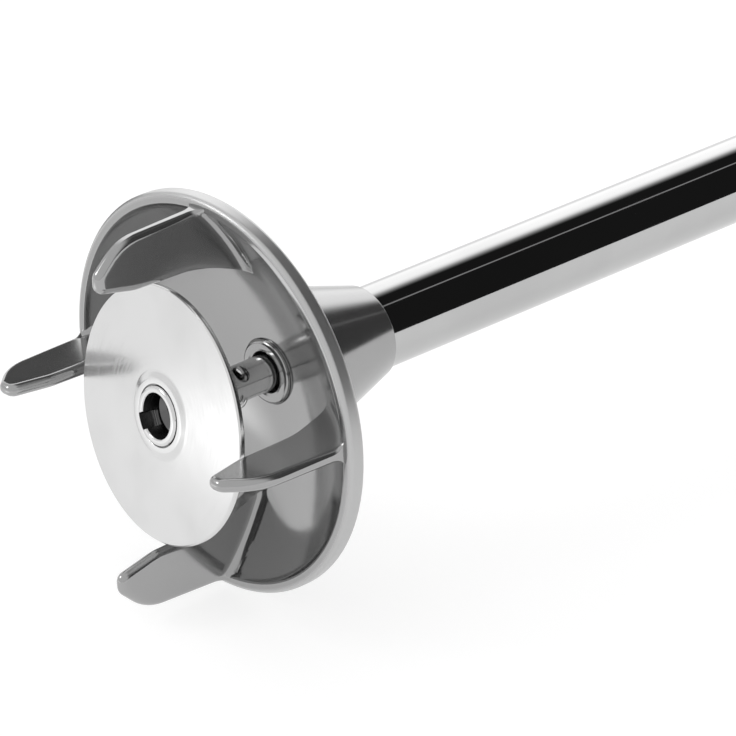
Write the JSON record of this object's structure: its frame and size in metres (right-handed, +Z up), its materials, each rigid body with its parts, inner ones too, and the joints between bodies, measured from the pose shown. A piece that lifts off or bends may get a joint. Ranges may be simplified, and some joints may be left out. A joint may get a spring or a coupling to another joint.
{
  "type": "immersion blender",
  "caption": "Hand-held immersion blender: fingered steel guard round a tilted emulsifying disc, long steel tube, and a bumpered motor unit with trigger and dial.",
  "frame": {"origin": "middle of the bounding box in X and Y, on the surface that the blender lies on", "axes": "+X along the drive axis from the mixing head to the cord gland; +Z up from the surface that the blender lies on"},
  "size_m": [0.6926, 0.105, 0.1098],
  "materials": {
    "polished_steel": "polished stainless steel",
    "satin_steel": "satin stainless steel sheet",
    "machine_steel": "machined",
    "cast_aluminium": "cast, bead blasted",
    "bronze": "sintered",
    "brass": "plain",
    "copper": "enamelled copper",
    "lamination": "stacked electrical steel",
    "carbon": "pressed carbon",
    "black_rubber": "matt",
    "grey_plastic": "fine texture",
    "dark_plastic": "fine texture",
    "trigger_plastic": "fine texture",
    "circuit_board": "fibreglass board"
  },
  "bodies": {
    "motor_unit": {"motor_nose": "cast_aluminium", "housing_shell_left": "grey_plastic", "housing_shell_right": "grey_plastic", "shell_screw_1": "machine_steel", "shell_screw_2": "machine_steel", "shell_screw_3": "machine_steel", "shell_screw_4": "machine_steel", "shell_screw_5": "machine_steel", "front_bumper": "black_rubber", "rear_bumper": "black_rubber", "end_cap": "dark_plastic", "cord_gland": "black_rubber", "front_bearing": "machine_steel", "rear_bearing": "machine_steel", "stator_core": "lamination", "field_coil_upper": "copper", "field_coil_lower": "copper", "rear_bracket": "cast_aluminium", "brush_holder_left": "brass", "brush_holder_right": "brass", "carbon_brush_left": "carbon", "carbon_brush_right": "carbon", "control_board": "circuit_board", "suppression_capacitor": "dark_plastic", "heat_sink": "cast_aluminium", "dial_potentiometer": "dark_plastic", "trigger_switch": "dark_plastic", "trigger_pin": "machine_steel"},
    "foot": {"guard_bell": "polished_steel", "lower_bush": "polished_steel", "lip_seal": "black_rubber", "lower_bearing": "bronze", "upper_bearing": "bronze", "outer_tube": "polished_steel", "foot_fitting": "cast_aluminium"},
    "lock_collar_ring": {"lock_collar": "dark_plastic"},
    "drive": {"drive_shaft": "polished_steel", "cross_pin": "polished_steel", "pin_clip": "polished_steel", "disc_hub": "polished_steel", "mixing_disc": "satin_steel", "shaft_coupling": "dark_plastic"},
    "armature": {"motor_shaft": "machine_steel", "motor_coupling": "dark_plastic", "cooling_fan": "grey_plastic", "armature_core": "lamination", "armature_winding_front": "copper", "armature_winding_rear": "copper", "commutator": "copper"},
    "trigger_paddle": {"trigger": "trigger_plastic"},
    "plunger": {"switch_plunger": "dark_plastic"},
    "lock_button_stem": {"lock_button": "dark_plastic"},
    "dial_knob": {"speed_dial": "dark_plastic"}
  },
  "joints": [
    {"name": "foot_slide", "type": "slide", "parent": "motor_unit", "child": "foot", "axis": [-1, 0, 0], "range_m": [0, 0.05]},
    {"name": "collar_turn", "type": "hinge", "parent": "foot", "child": "lock_collar_ring", "pos_m": [-0.0007, 0, 0.0525], "axis": [1, 0, 0], "range_deg": [0, 60]},
    {"name": "drive_spin", "type": "hinge", "parent": "foot", "child": "drive", "pos_m": [-0.3107, 0, 0.0525], "axis": [1, 0, 0], "continuous": true},
    {"name": "armature_spin", "type": "hinge", "parent": "motor_unit", "child": "armature", "pos_m": [0.0893, 0, 0.0525], "axis": [1, 0, 0], "continuous": true},
    {"name": "trigger_press", "type": "hinge", "parent": "motor_unit", "child": "trigger_paddle", "pos_m": [0.2493, 0, 0.072], "axis": [0, 1, 0], "range_deg": [0, 6], "stiffness_Nm_per_rad": 0.5, "springref_deg": -8.59},
    {"name": "plunger_slide", "type": "slide", "parent": "motor_unit", "child": "plunger", "axis": [0, 0, -1], "range_m": [0, 0.0034]},
    {"name": "lock_button_press", "type": "slide", "parent": "motor_unit", "child": "lock_button_stem", "axis": [0, 1, 0], "range_m": [0, 0.0025], "stiffness_N_per_m": 400, "springref_m": -0.004},
    {"name": "dial_turn", "type": "hinge", "parent": "motor_unit", "child": "dial_knob", "pos_m": [0.1653, 0, 0.103], "axis": [0, 0, 1], "range_deg": [0, 270]}
  ],
  "couplings": [
    {"joint": "drive_spin", "follows": "armature_spin", "ratio": 1},
    {"joint": "plunger_slide", "follows": "trigger_press", "m_per_rad": 0.0315}
  ]
}
